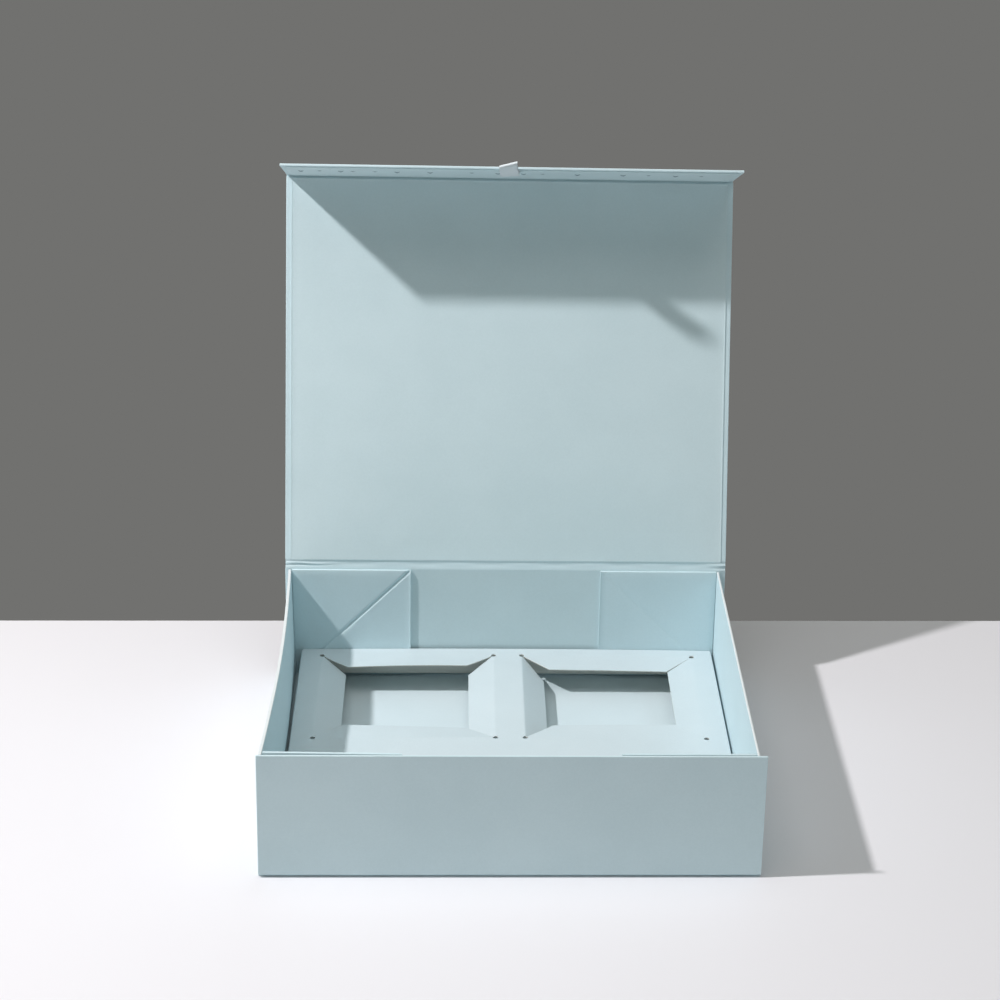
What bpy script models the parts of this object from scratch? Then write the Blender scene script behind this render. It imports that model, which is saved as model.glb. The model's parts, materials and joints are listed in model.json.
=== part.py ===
"""Folding carton gift box with a magnetic closing flap and a die-cut card platform.

Metres, +Z up, +X to the right, -Y to the front. The origin is the centre of the base board's
underside. The lid stands open, as the box is shown, and every moving piece hangs from an empty
that lies on its hinge line.
"""

from math import atan2, cos, pi, radians, sin, sqrt, tan

import bmesh
import bpy
from mathutils import Matrix

# Case: one wrapped sheet of boards, [front][base][back][lid][closing flap]
case_width = 0.300
case_depth = 0.262
case_height = 0.0818
closing_flap_depth = 0.066
board_thickness = 0.0015
paper_thickness = 0.00025
board_edge_radius = 0.0003

# Distances kept between pieces that are glued, folded or closed on each other
glue_gap = 0.0003
fold_clearance = 0.00035
closing_clearance = 0.0004

# The pose in which the box is shown
lid_lean_deg = 15.9
closing_flap_open_deg = 4.9

# Lining papers stop short of the board edges
lining_inset = 0.0035
lining_fold_inset = 0.001
lid_channel = 0.0036

# Tray walls and gussets
wall_inset = 0.0045
wall_top_drop = 0.0003
wall_hinge_leg = 0.010
gusset_board_thickness = 0.0011
gusset_top_drop = 0.0003
gusset_crease_width = 0.0022
gusset_margin = 0.0019

# Closure
magnet_radius = 0.0075
magnet_thickness = 0.0008
keeper_thickness = 0.0005
magnet_side_margin = 0.050
magnet_edge_distance = 0.014
pocket_floor = 0.0002

# Ribbon pull, a folded ribbon whose root lies beside the flap's lining
ribbon_width = 0.0125
ribbon_thickness = 0.0006
ribbon_reach = 0.0165
ribbon_offset_x = -0.0013

# Card platform
card_thickness = 0.0006
platform_top_height = 0.0222
platform_left_gap = 0.00385
platform_right_gap = 0.00075
platform_front_gap = 0.00155
platform_back_gap = 0.00205
window_side_margin = 0.01515
window_bridge = 0.0191
window_back_margin = 0.0089
window_depth = 0.1165
crease_gap = 0.0005
relief_radius = 0.0016
window_flap_length = 0.0181
window_flap_mitre = 0.0195

# How far each window flap hangs down at rest, in degrees
window_flap_rest_deg = {
    "left": {"left": 15.0, "right": 16.0, "front": 6.0, "back": 1.0},
    "right": {"left": 31.0, "right": 4.0, "front": 2.0, "back": 5.0},
}

cut_overrun = 0.001
arc_steps = 6
disc_sides = 32
sharp_edge_deg = 40.0
edge_radius_limit_share = 1 / 3

# Places that follow from the sizes above
front_face = -case_depth / 2
back_face = case_depth / 2
lined_board = board_thickness + glue_gap + paper_thickness
fold_inset = board_thickness + fold_clearance
flap_channel = lined_board + fold_clearance
hinge_paper = 2 * paper_thickness
lid_axis_height = case_height + glue_gap + lined_board
lid_reach = case_depth + lined_board + closing_clearance
wall_outer = case_width / 2 - wall_inset
wall_inner = wall_outer - board_thickness
wall_leg_top = board_thickness + glue_gap + paper_thickness
floor_level = wall_leg_top + glue_gap + paper_thickness
standing_level = floor_level + glue_gap
gusset_stack = lined_board + glue_gap
tray_inner_half_depth = case_depth / 2 - gusset_stack - gusset_board_thickness
magnet_x = case_width / 2 - magnet_side_margin
magnet_height = lid_axis_height - closing_flap_depth + magnet_edge_distance
platform_width = 2 * wall_inner - platform_left_gap - platform_right_gap
platform_depth = 2 * tray_inner_half_depth - platform_front_gap - platform_back_gap
platform_centre_x = (platform_left_gap - platform_right_gap) / 2
platform_centre_y = (platform_front_gap - platform_back_gap) / 2
window_width = (platform_width - 2 * window_side_margin - window_bridge) / 2
window_spacing = window_width + window_bridge


def clear_scene():
    for obj in list(bpy.data.objects):
        bpy.data.objects.remove(obj, do_unlink=True)


def new_collection(name):
    collection = bpy.data.collections.new(name)
    bpy.context.scene.collection.children.link(collection)
    return collection


def make_material(name, colour, roughness, metallic=0.0):
    material = bpy.data.materials.new(name)
    material.use_nodes = True
    shader = material.node_tree.nodes["Principled BSDF"]
    shader.inputs["Base Color"].default_value = (*colour, 1.0)
    shader.inputs["Roughness"].default_value = roughness
    shader.inputs["Metallic"].default_value = metallic
    return material


clear_scene()
gift_box = new_collection("folding_gift_box")
cutters = new_collection("cutters")

wrap_paper = make_material("wrap_paper", (0.61, 0.745, 0.79), 0.55)
lining_paper = make_material("lining_paper", (0.62, 0.75, 0.79), 0.60)
platform_card = make_material("platform_card", (0.64, 0.74, 0.775), 0.55)
ribbon_weave = make_material("ribbon_weave", (0.68, 0.76, 0.79), 0.65)
magnet_metal = make_material("magnet_metal", (0.62, 0.62, 0.64), 0.35, 1.0)


def hinge_line(name, location, turn_deg=0.0, axis=0, parent=None):
    """An empty that lies on a hinge line. What hangs from it is placed from that line."""
    empty = bpy.data.objects.new(name, None)
    gift_box.objects.link(empty)
    empty.parent = parent
    empty.location = location
    empty.rotation_euler[axis] = radians(turn_deg)
    return empty


def add_object(name, data, material, parent, collection=None):
    obj = bpy.data.objects.new(name, data)
    (collection or gift_box).objects.link(obj)
    obj.parent = parent
    if material:
        data.materials.append(material)
    return obj


def plate(name, low, high, material=None, parent=None, collection=None):
    """A flat sheet or board between two corners, with its origin at its centre."""
    mesh = bpy.data.meshes.new(name)
    shape = bmesh.new()
    bmesh.ops.create_cube(shape, size=1)
    bmesh.ops.scale(shape, vec=[b - a for a, b in zip(low, high)], verts=shape.verts)
    shape.to_mesh(mesh)
    shape.free()
    obj = add_object(name, mesh, material, parent, collection)
    obj.location = [(a + b) / 2 for a, b in zip(low, high)]
    return obj


def round_edges(obj, radius=board_edge_radius):
    """The wrapping paper turns round a board's edges on a small radius."""
    bevel = obj.modifiers.new("wrapped_edges", "BEVEL")
    bevel.width = min(radius, board_thickness * edge_radius_limit_share)
    bevel.segments = 2
    bevel.limit_method = "ANGLE"
    return obj


def board(name, low, high, parent=None):
    return round_edges(plate(name, low, high, wrap_paper, parent))


def outline(name, points, thickness, material, parent=None):
    """A flat piece with the given outline in its own XY plane, half its thickness to each side."""
    curve = bpy.data.curves.new(name, "CURVE")
    curve.dimensions = "2D"
    curve.fill_mode = "BOTH"
    curve.extrude = thickness / 2
    spline = curve.splines.new("POLY")
    spline.points.add(len(points) - 1)
    for point, (x, y) in zip(spline.points, points):
        point.co = (x, y, 0, 1)
    spline.use_cyclic_u = True
    return add_object(name, curve, material, parent)


def strip_along_x(name, section, length, material, parent=None):
    """A strip that runs along X with the given section, whose points are (y, z)."""
    obj = outline(name, section, length, material, parent)
    obj.rotation_euler = (pi / 2, 0, pi / 2)
    return obj


def disc(name, radius, thickness, material=None, parent=None, collection=None):
    """A round disc whose axis lies along Y, with its origin at its centre."""
    mesh = bpy.data.meshes.new(name)
    shape = bmesh.new()
    bmesh.ops.create_cone(
        shape,
        cap_ends=True,
        segments=disc_sides,
        radius1=radius,
        radius2=radius,
        depth=thickness,
    )
    bmesh.ops.rotate(shape, matrix=Matrix.Rotation(pi / 2, 3, "X"), verts=shape.verts)
    shape.to_mesh(mesh)
    shape.free()
    mesh.shade_smooth()
    mesh.set_sharp_from_angle(angle=radians(sharp_edge_deg))
    return add_object(name, mesh, material, parent, collection)


def cut(obj, cutter):
    cutter.hide_render = True
    cutter.display_type = "WIRE"
    boolean = obj.modifiers.new(cutter.name, "BOOLEAN")
    boolean.operation = "DIFFERENCE"
    boolean.object = cutter


def disc_pocket(obj, x, z, inner_face, parent=None):
    """A blind round pocket in a board that stands in XZ, open at its inner face."""
    depth = board_thickness - pocket_floor
    name = f"{obj.name}_pocket_{'left' if x < 0 else 'right'}"
    cutter = disc(name, magnet_radius + glue_gap, depth + cut_overrun, None, parent, cutters)
    cutter.location = (x, inner_face - (depth - cut_overrun) / 2, z)
    cut(obj, cutter)


def bent_strip(corner, first_way, second_way, first_length, second_length, thickness):
    """The section of a flat strip of paper folded once at a corner, inside of its outer faces.

    first_way leads back from the corner along the first panel and second_way on along the
    second. Each is (y, z) and of length one.
    """
    def along(start, way, length):
        return (start[0] + way[0] * length, start[1] + way[1] * length)

    turn = atan2(
        second_way[1] * first_way[0] - second_way[0] * first_way[1],
        first_way[0] * second_way[0] + first_way[1] * second_way[1],
    )
    side = 1 if turn > 0 else -1
    first_normal = (-side * first_way[1], side * first_way[0])
    second_normal = (side * second_way[1], -side * second_way[0])
    reach = thickness / tan(abs(turn) / 2)
    inner_corner = along(along(corner, first_way, reach), first_normal, thickness)
    first_end = along(corner, first_way, first_length)
    second_end = along(corner, second_way, second_length)
    return [
        first_end,
        corner,
        second_end,
        along(second_end, second_normal, thickness),
        inner_corner,
        along(first_end, first_normal, thickness),
    ]


def base_and_upright_boards():
    half = case_width / 2
    inset = case_depth / 2 - fold_inset
    board("base_board", (-half, -inset, 0), (half, inset, board_thickness))
    front = board(
        "front_board",
        (-half, front_face, fold_inset),
        (half, front_face + board_thickness, case_height),
    )
    for x in (-magnet_x, magnet_x):
        disc_pocket(front, x, magnet_height, front_face + board_thickness)
    board(
        "back_board",
        (-half, back_face - board_thickness, fold_inset),
        (half, back_face, case_height),
    )


def base_fold_paper(name, side):
    """The case paper that turns from the base's underside up the outside of an upright board."""
    outer = [quarter_point(fold_inset, k) for k in range(arc_steps + 1)]
    inner = [quarter_point(fold_inset - paper_thickness, k) for k in range(arc_steps + 1)]
    centre_y = case_depth / 2 - fold_inset
    section = [
        (side * (centre_y + y), fold_inset - z) for y, z in outer + inner[::-1]
    ]
    strip_along_x(name, section, case_width - 2 * fold_inset, wrap_paper)


def quarter_point(radius, step):
    """A point of the quarter circle that leads from flat underneath to upright outside."""
    start = angle_opposite(fold_clearance, fold_inset)
    angle = start + (pi / 2 - 2 * start) * step / arc_steps
    return radius * sin(angle), radius * cos(angle)


def angle_opposite(opposite, hypotenuse):
    return atan2(opposite, sqrt(hypotenuse**2 - opposite**2))


def upright_linings():
    half = case_width / 2 - lining_inset
    for name, side in (("front_lining", -1), ("back_lining", 1)):
        outer = side * (case_depth / 2 - board_thickness - glue_gap)
        inner = outer - side * paper_thickness
        plate(
            name,
            (-half, min(outer, inner), standing_level),
            (half, max(outer, inner), case_height - lining_fold_inset),
            lining_paper,
        )


def floor_lining():
    half_x = wall_inner - 2 * glue_gap - paper_thickness
    half_y = case_depth / 2 - gusset_stack
    plate(
        "floor_lining",
        (-half_x, -half_y, floor_level - paper_thickness),
        (half_x, half_y, floor_level),
        lining_paper,
    )


def side_wall(side, side_name):
    half_y = case_depth / 2 - gusset_stack
    near, far = sorted((side * wall_inner, side * wall_outer))
    board(
        f"{side_name}_wall",
        (near, -half_y, board_thickness + glue_gap),
        (far, half_y, case_height - wall_top_drop),
    )
    face = wall_inner - glue_gap
    foot = board_thickness + glue_gap
    leg = foot + wall_hinge_leg
    angle_section = [
        (side * face, foot),
        (side * (face - wall_hinge_leg), foot),
        (side * (face - wall_hinge_leg), wall_leg_top),
        (side * (face - paper_thickness), wall_leg_top),
        (side * (face - paper_thickness), leg),
        (side * face, leg),
    ]
    length = 2 * (tray_inner_half_depth - glue_gap)
    paper = outline(f"{side_name}_wall_hinge", angle_section, length, wrap_paper)
    paper.rotation_euler = (pi / 2, 0, 0)


def gusset(side, side_name, end, end_name):
    """A wing of two boards with a 45 degree crease from the tray's lower corner.

    The lower board is glued to the upright board, and the upper one folds with the side wall.
    """
    height = case_height - gusset_top_drop - standing_level
    length = height + gusset_margin
    crease = gusset_crease_width / sqrt(2)
    corner = wall_inner - glue_gap
    glued = [(crease, 0), (length, 0), (length, height), (height + crease, height)]
    folding = [(0, crease), (height - crease, height), (0, height)]
    middle = end * (case_depth / 2 - gusset_stack - gusset_board_thickness / 2)
    for part_name, points in (("glued", glued), ("folding", folding)):
        name = f"{end_name}_{side_name}_gusset_{part_name}"
        mirrored = [(side * (corner - x), z) for x, z in points]
        wing = outline(name, mirrored, gusset_board_thickness, wrap_paper)
        wing.location = (0, middle, standing_level)
        wing.rotation_euler = (pi / 2, 0, 0)


def keeper_discs():
    """Steel discs in the front board, which the flap's magnets close on."""
    y = front_face + pocket_floor + glue_gap + keeper_thickness / 2
    for side, side_name in ((-1, "left"), (1, "right")):
        keeper = disc(f"{side_name}_keeper", magnet_radius, keeper_thickness, magnet_metal)
        keeper.location = (side * magnet_x, y, magnet_height)


def lid(pivot):
    """Closed, the lid runs from its hinge line to the front, with its outer face at height 0."""
    half = case_width / 2
    front_end = -lid_reach + flap_channel
    board("lid_board", (-half, front_end, -board_thickness), (half, -lid_channel, 0), pivot)
    lining_half = half - lining_inset
    plate(
        "lid_lining",
        (-lining_half, front_end + lining_fold_inset, -lined_board),
        (lining_half, -lid_channel - lining_fold_inset, paper_thickness - lined_board),
        lining_paper,
        pivot,
    )


def closing_flap(pivot):
    """Closed, the flap hangs straight down from its hinge line, with its outer face at y 0."""
    half = case_width / 2
    free_edge = -closing_flap_depth
    flap = board(
        "closing_flap_board",
        (-half, 0, free_edge),
        (half, board_thickness, -flap_channel),
        pivot,
    )
    magnet_z = free_edge + magnet_edge_distance
    for x in (-magnet_x, magnet_x):
        disc_pocket(flap, x, magnet_z, board_thickness, pivot)
    lining_half = half - lining_inset
    plate(
        "closing_flap_lining",
        (-lining_half, lined_board - paper_thickness, free_edge + lining_inset),
        (lining_half, lined_board, -flap_channel - lining_fold_inset),
        lining_paper,
        pivot,
    )
    seat = (pocket_floor + board_thickness) / 2
    for side, side_name in ((-1, "left"), (1, "right")):
        magnet = disc(
            f"{side_name}_magnet", magnet_radius, magnet_thickness, magnet_metal, pivot
        )
        magnet.location = (side * magnet_x, seat, magnet_z)
    lie = board_thickness + glue_gap
    plate(
        "ribbon_pull",
        (ribbon_offset_x - ribbon_width / 2, lie, free_edge - ribbon_reach),
        (
            ribbon_offset_x + ribbon_width / 2,
            lie + ribbon_thickness,
            free_edge + lining_inset - glue_gap,
        ),
        ribbon_weave,
        pivot,
    )


def lid_hinge_paper():
    """Case paper and lining, glued together across the channel between back board and lid."""
    lean = radians(lid_lean_deg)
    section = bent_strip(
        (back_face, lid_axis_height),
        (0, -1),
        (sin(lean), cos(lean)),
        lid_axis_height - case_height - glue_gap,
        lid_channel - glue_gap,
        hinge_paper,
    )
    strip_along_x("lid_hinge_paper", section, case_width - 2 * fold_inset, wrap_paper)


def flap_hinge_paper(pivot):
    opening = radians(closing_flap_open_deg)
    length = flap_channel - glue_gap
    section = bent_strip(
        (-lid_reach, 0), (1, 0), (-sin(opening), -cos(opening)), length, length, hinge_paper
    )
    strip_along_x("flap_hinge_paper", section, case_width - 2 * fold_inset, wrap_paper, pivot)


def platform_top(frame):
    """The platform's top sheet, with its two windows and the relief holes at their corners."""
    half_x = platform_width / 2
    half_y = platform_depth / 2
    sheet = plate(
        "platform_top",
        (-half_x, -half_y, -card_thickness),
        (half_x, half_y, 0),
        platform_card,
        frame,
    )
    for side, side_name in ((-1, "left"), (1, "right")):
        centre = window_centre(side)
        reach_x = window_width / 2 + crease_gap
        reach_y = window_depth / 2 + crease_gap
        opening = plate(
            f"{side_name}_window",
            (centre[0] - reach_x, centre[1] - reach_y, -card_thickness - cut_overrun),
            (centre[0] + reach_x, centre[1] + reach_y, cut_overrun),
            None,
            frame,
            cutters,
        )
        cut(sheet, opening)
        for sx in (-1, 1):
            for sy in (-1, 1):
                corner = (centre[0] + sx * window_width / 2, centre[1] + sy * window_depth / 2)
                cut(sheet, relief_cutter(sheet, side_name, sx, sy, corner, frame))
    return sheet


def relief_cutter(sheet, side_name, sx, sy, corner, frame):
    name = f"{side_name}_relief_{'left' if sx < 0 else 'right'}_{'front' if sy < 0 else 'back'}"
    cutter = disc(
        name, relief_radius, card_thickness + 2 * cut_overrun, None, frame, cutters
    )
    cutter.rotation_euler = (pi / 2, 0, 0)
    cutter.location = (*corner, -card_thickness / 2)
    return cutter


def window_centre(side):
    y = platform_depth / 2 - window_back_margin - window_depth / 2
    return side * window_spacing / 2, y


def platform_skirts(frame):
    """Folded-down edges that carry the top sheet on the tray's floor."""
    top = -card_thickness - glue_gap
    foot = standing_level - platform_top_height
    half_x = platform_width / 2
    half_y = platform_depth / 2
    inner_y = half_y - card_thickness
    for name, low_y, high_y in (
        ("platform_front_skirt", -half_y, -inner_y),
        ("platform_back_skirt", inner_y, half_y),
    ):
        plate(name, (-half_x, low_y, foot), (half_x, high_y, top), platform_card, frame)
    for name, side in (("platform_left_skirt", -1), ("platform_right_skirt", 1)):
        near, far = sorted((side * half_x, side * (half_x - card_thickness)))
        plate(
            name,
            (near, glue_gap - inner_y, foot),
            (far, inner_y - glue_gap, top),
            platform_card,
            frame,
        )


def window_flap_outline(crease_length):
    """A mitred flap, from its crease at y 0 to its free edge, cleared round the relief holes."""
    half = crease_length / 2
    clear = relief_radius + glue_gap
    mitre = atan2(window_flap_length, window_flap_mitre)
    start = angle_opposite(glue_gap, clear)
    angles = [start + (mitre - start) * k / (arc_steps - 2) for k in range(arc_steps - 1)]
    arc = [(half - clear * cos(angle), clear * sin(angle)) for angle in angles]
    tip = (half - window_flap_mitre, window_flap_length)
    right = [(arc[0][0], 0), *arc, tip]
    left = [(-x, y) for x, y in right[::-1]]
    return right + left


def window_flap(side, side_name, edge_name, turn_deg, frame):
    """One flap, hung on its crease. turn_deg turns it so that it points into the window."""
    centre = window_centre(side)
    across = edge_name in ("front", "back")
    crease_length = window_width if across else window_depth
    away = (window_depth if across else window_width) / 2
    turn = radians(turn_deg)
    pivot = hinge_line(
        f"{side_name}_{edge_name}_crease",
        (
            centre[0] + sin(turn) * away,
            centre[1] - cos(turn) * away,
            -card_thickness / 2,
        ),
        turn_deg,
        2,
        frame,
    )
    flap = outline(
        f"{side_name}_window_flap_{edge_name}",
        window_flap_outline(crease_length),
        card_thickness,
        platform_card,
        pivot,
    )
    flap.rotation_euler[0] = -radians(window_flap_rest_deg[side_name][edge_name])


def platform():
    frame = hinge_line(
        "platform_frame", (platform_centre_x, platform_centre_y, platform_top_height)
    )
    platform_top(frame)
    platform_skirts(frame)
    for side, side_name in ((-1, "left"), (1, "right")):
        for edge_name, turn_deg in (("front", 0), ("right", 90), ("back", 180), ("left", 270)):
            window_flap(side, side_name, edge_name, turn_deg, frame)


base_and_upright_boards()
base_fold_paper("front_base_hinge", -1)
base_fold_paper("back_base_hinge", 1)
upright_linings()
floor_lining()
for wall_side, wall_name in ((-1, "left"), (1, "right")):
    side_wall(wall_side, wall_name)
    for end_side, end_label in ((-1, "front"), (1, "back")):
        gusset(wall_side, wall_name, end_side, end_label)
keeper_discs()
lid_hinge_paper()
lid_pivot = hinge_line("lid_hinge_line", (0, back_face, lid_axis_height), -90 - lid_lean_deg)
lid(lid_pivot)
flap_hinge_paper(lid_pivot)
flap_pivot = hinge_line(
    "flap_hinge_line", (0, -lid_reach, 0), -closing_flap_open_deg, 0, lid_pivot
)
closing_flap(flap_pivot)
platform()
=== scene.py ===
"""Folding gift box with a magnetic closing flap, dressed in its papers and card.

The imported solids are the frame: metres, +Z up, -Y to the front. Boards keep their solids.
Papers, walls, gusset wings, the card platform and the ribbon are modelled over theirs.
"""

import json
from math import asin, atan2, cos, exp, pi, radians, sin

import bmesh
import bpy
from mathutils import Matrix, Vector, noise


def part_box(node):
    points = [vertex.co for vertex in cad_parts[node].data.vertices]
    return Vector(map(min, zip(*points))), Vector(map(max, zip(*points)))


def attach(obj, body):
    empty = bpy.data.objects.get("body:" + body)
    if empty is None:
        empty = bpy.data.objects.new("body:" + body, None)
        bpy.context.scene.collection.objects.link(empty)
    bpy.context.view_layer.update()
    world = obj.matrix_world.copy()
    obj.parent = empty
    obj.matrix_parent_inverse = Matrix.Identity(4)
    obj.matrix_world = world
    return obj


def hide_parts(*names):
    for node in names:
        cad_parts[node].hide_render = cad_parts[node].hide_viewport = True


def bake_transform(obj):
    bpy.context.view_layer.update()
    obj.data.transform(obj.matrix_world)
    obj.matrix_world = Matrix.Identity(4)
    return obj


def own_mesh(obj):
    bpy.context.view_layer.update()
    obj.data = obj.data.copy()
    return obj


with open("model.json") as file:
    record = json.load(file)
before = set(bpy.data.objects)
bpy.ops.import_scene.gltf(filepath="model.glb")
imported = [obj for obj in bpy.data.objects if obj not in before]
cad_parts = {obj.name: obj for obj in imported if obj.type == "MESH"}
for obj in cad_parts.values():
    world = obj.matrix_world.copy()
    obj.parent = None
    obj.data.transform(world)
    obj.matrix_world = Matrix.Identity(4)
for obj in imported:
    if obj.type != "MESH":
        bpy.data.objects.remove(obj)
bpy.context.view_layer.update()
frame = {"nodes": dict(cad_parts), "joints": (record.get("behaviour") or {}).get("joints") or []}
solids = frame["nodes"]
joints = {joint["name"]: joint for joint in frame["joints"]}


# Camera: a long lens, above the box and looking down into it. The picture is a crop from a
# larger one, so the lens is shifted by the place of its centre in it.
camera_place = Vector((-0.03563, -1.41849, 0.79609))
camera_yaw, camera_pitch, camera_roll = 0.05828, 0.37432, 0.03084
photo_focal_pixels = 2495.5
photo_width_pixels = 1000.0
lens_centre_right_pixels, lens_centre_down_pixels = 90.9, -73.1

camera_data = bpy.data.cameras.new("camera")
camera_data.lens = photo_focal_pixels / photo_width_pixels * camera_data.sensor_width
camera_data.shift_x = -lens_centre_right_pixels / photo_width_pixels
camera_data.shift_y = lens_centre_down_pixels / photo_width_pixels
camera = bpy.data.objects.new("camera", camera_data)
bpy.context.scene.collection.objects.link(camera)
level = cos(camera_pitch)
ahead = Vector((sin(camera_yaw) * level, cos(camera_yaw) * level, -sin(camera_pitch)))
across = Vector((cos(camera_yaw), -sin(camera_yaw), 0))
upward = across.cross(ahead)
rolled_across = across * cos(camera_roll) + upward * sin(camera_roll)
rolled_upward = upward * cos(camera_roll) - across * sin(camera_roll)
axes = Matrix((rolled_across, rolled_upward, -ahead)).transposed()
camera.matrix_world = Matrix.Translation(camera_place) @ axes.to_4x4()
bpy.context.scene.camera = camera
bpy.context.scene.view_settings.view_transform = "Standard"


# Stage: a white table whose far edge lies close behind the box, in front of a grey wall.
# A small lamp high on the left throws the crisp shadows. Soft boxes and the room fill them.
table_edge_y = 0.2185
table_half_side = 0.75
table_turn = 0.0111
table_drop = 0.0002
table_white = (0.838, 0.842, 0.874, 1)
wall_grey = (0.165, 0.165, 0.159, 1)
room_fill = (0.116, 0.114, 0.093, 1)
room_centre = Vector((0.0, 0.0, 0.1))

table_mesh = bmesh.new()
bmesh.ops.create_grid(table_mesh, x_segments=1, y_segments=1, size=table_half_side)
edge_middle = Matrix.Translation((0, table_edge_y, 0)) @ Matrix.Rotation(table_turn, 4, "Z")
table_place = edge_middle @ Matrix.Translation((0, -table_half_side, -table_drop))
bmesh.ops.transform(table_mesh, matrix=table_place, verts=table_mesh.verts)
table_data = bpy.data.meshes.new("table")
table_mesh.to_mesh(table_data)
table_mesh.free()
table = bpy.data.objects.new("table", table_data)
bpy.context.scene.collection.objects.link(table)
table_paint = bpy.data.materials.new("table_white")
table_paint.use_nodes = True
table_shader = table_paint.node_tree.nodes["Principled BSDF"]
table_shader.inputs["Base Color"].default_value = table_white
table_shader.inputs["Roughness"].default_value = 0.7
table_shader.inputs["Specular IOR Level"].default_value = 0.2
table_data.materials.append(table_paint)


def add_light(name, shape, size, watts, tint, place, aim):
    data = bpy.data.lights.new(name, "AREA")
    data.color = tint
    data.shape = shape
    data.size = size
    data.energy = watts
    made = bpy.data.objects.new(name, data)
    bpy.context.scene.collection.objects.link(made)
    made.location = place
    made.rotation_euler = (aim - made.location).to_track_quat("-Z", "Y").to_euler()


lamp_white, warm_white, cool_white = (1, 0.96, 0.97), (1, 0.97, 0.96), (0.6, 0.86, 1)
lamp_place, lamp_aim = Vector((-1.023, -0.2178, 1.3534)), Vector((0.9, 0.15, 0.25))
add_light("lamp", "DISK", 0.072, 24.0, lamp_white, lamp_place, lamp_aim)
for name, watts, tint, place in (
    ("soft_box_above", 19.0, warm_white, (0, -0.3, 2.4)),
    ("soft_box_right", 8.5, cool_white, (3, -0.6, 1.2)),
    ("soft_box_front", 3.0, cool_white, (0, -3.2, 1.2)),
):
    add_light(name, "SQUARE", 2.0, watts, tint, place, room_centre)

world = bpy.data.worlds.new("room")
bpy.context.scene.world = world
world.use_nodes = True
room = world.node_tree
ray = room.nodes.new("ShaderNodeLightPath")
fill_light = room.nodes["Background"]
fill_light.inputs["Color"].default_value = room_fill
wall_light = room.nodes.new("ShaderNodeBackground")
wall_light.inputs["Color"].default_value = wall_grey
either = ray.outputs["Is Camera Ray"]
for other in ("Is Glossy Ray", "Is Transmission Ray"):
    larger = room.nodes.new("ShaderNodeMath")
    larger.operation = "MAXIMUM"
    room.links.new(either, larger.inputs[0])
    room.links.new(ray.outputs[other], larger.inputs[1])
    either = larger.outputs[0]
choice = room.nodes.new("ShaderNodeMixShader")
room.links.new(either, choice.inputs["Fac"])
room.links.new(fill_light.outputs[0], choice.inputs[1])
room.links.new(wall_light.outputs[0], choice.inputs[2])
room.links.new(choice.outputs[0], room.nodes["World Output"].inputs["Surface"])


# Case boards: grey board wrapped in a pale blue, uncoated art paper that turns round
# every edge. The paper has soft pulp clouds, a fine felt, short fibres and a few specks.
wrap_colour = (0.645, 0.80, 0.845)
wrap_shade = (0.60, 0.755, 0.80)
speck_colour = (0.12, 0.13, 0.12)


class Shade:
    """One socket of a material's nodes. Sums and products of these add Math nodes."""

    def __init__(self, tree, socket):
        self.tree, self.socket = tree, socket

    def node(self, kind, settings, sockets, output=0):
        made = self.tree.nodes.new(kind)
        for setting, value in settings.items():
            setattr(made, setting, value)
        for key, value in sockets.items():
            if isinstance(value, Shade):
                self.tree.links.new(value.socket, made.inputs[key])
            else:
                made.inputs[key].default_value = value
        return Shade(self.tree, made.outputs[output])

    def maths(self, operation, first, second):
        return self.node("ShaderNodeMath", {"operation": operation}, {0: first, 1: second})

    def __add__(self, other):
        return self.maths("ADD", self, other)

    def __radd__(self, other):
        return self.maths("ADD", other, self)

    def __sub__(self, other):
        return self.maths("SUBTRACT", self, other)

    def __rsub__(self, other):
        return self.maths("SUBTRACT", other, self)

    def __mul__(self, other):
        return self.maths("MULTIPLY", self, other)

    def __rmul__(self, other):
        return self.maths("MULTIPLY", other, self)

    def noise(self, scale, detail=2.0, rough=0.5):
        sockets = {"Vector": self, "Scale": scale, "Detail": detail, "Roughness": rough}
        return self.node("ShaderNodeTexNoise", {}, sockets)

    def stretched(self, scale):
        return self.node("ShaderNodeMapping", {}, {"Vector": self, "Scale": scale})

    def ramp(self, low, high):
        """0 below low and 1 above high, with a smooth step between them."""
        settings = {"interpolation_type": "SMOOTHSTEP"}
        return self.node("ShaderNodeMapRange", settings, {0: self, 1: low, 2: high})

    def tint(self, low, high):
        """A colour that goes from low to high with this value."""
        sockets = {0: self, 6: (*low, 1), 7: (*high, 1)}
        return self.node("ShaderNodeMix", {"data_type": "RGBA"}, sockets, 2)

    def over(self, under, colour):
        """colour laid over another shade's colour, by this value."""
        sockets = {0: self, 6: under, 7: (*colour, 1)}
        return self.node("ShaderNodeMix", {"data_type": "RGBA"}, sockets, 2)


def new_finish(name, roughness=0.6, gloss=0.3, metallic=0.0):
    """A material, its shader and its Object coordinates."""
    finish = bpy.data.materials.new(name)
    finish.use_nodes = True
    tree = finish.node_tree
    shader = tree.nodes["Principled BSDF"]
    shader.inputs["Roughness"].default_value = roughness
    shader.inputs["Specular IOR Level"].default_value = gloss
    shader.inputs["Metallic"].default_value = metallic
    place = tree.nodes.new("ShaderNodeTexCoord")
    return finish, shader, Shade(tree, place.outputs["Object"])


def join(value, shader, socket):
    value.tree.links.new(value.socket, shader.inputs[socket])


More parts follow.
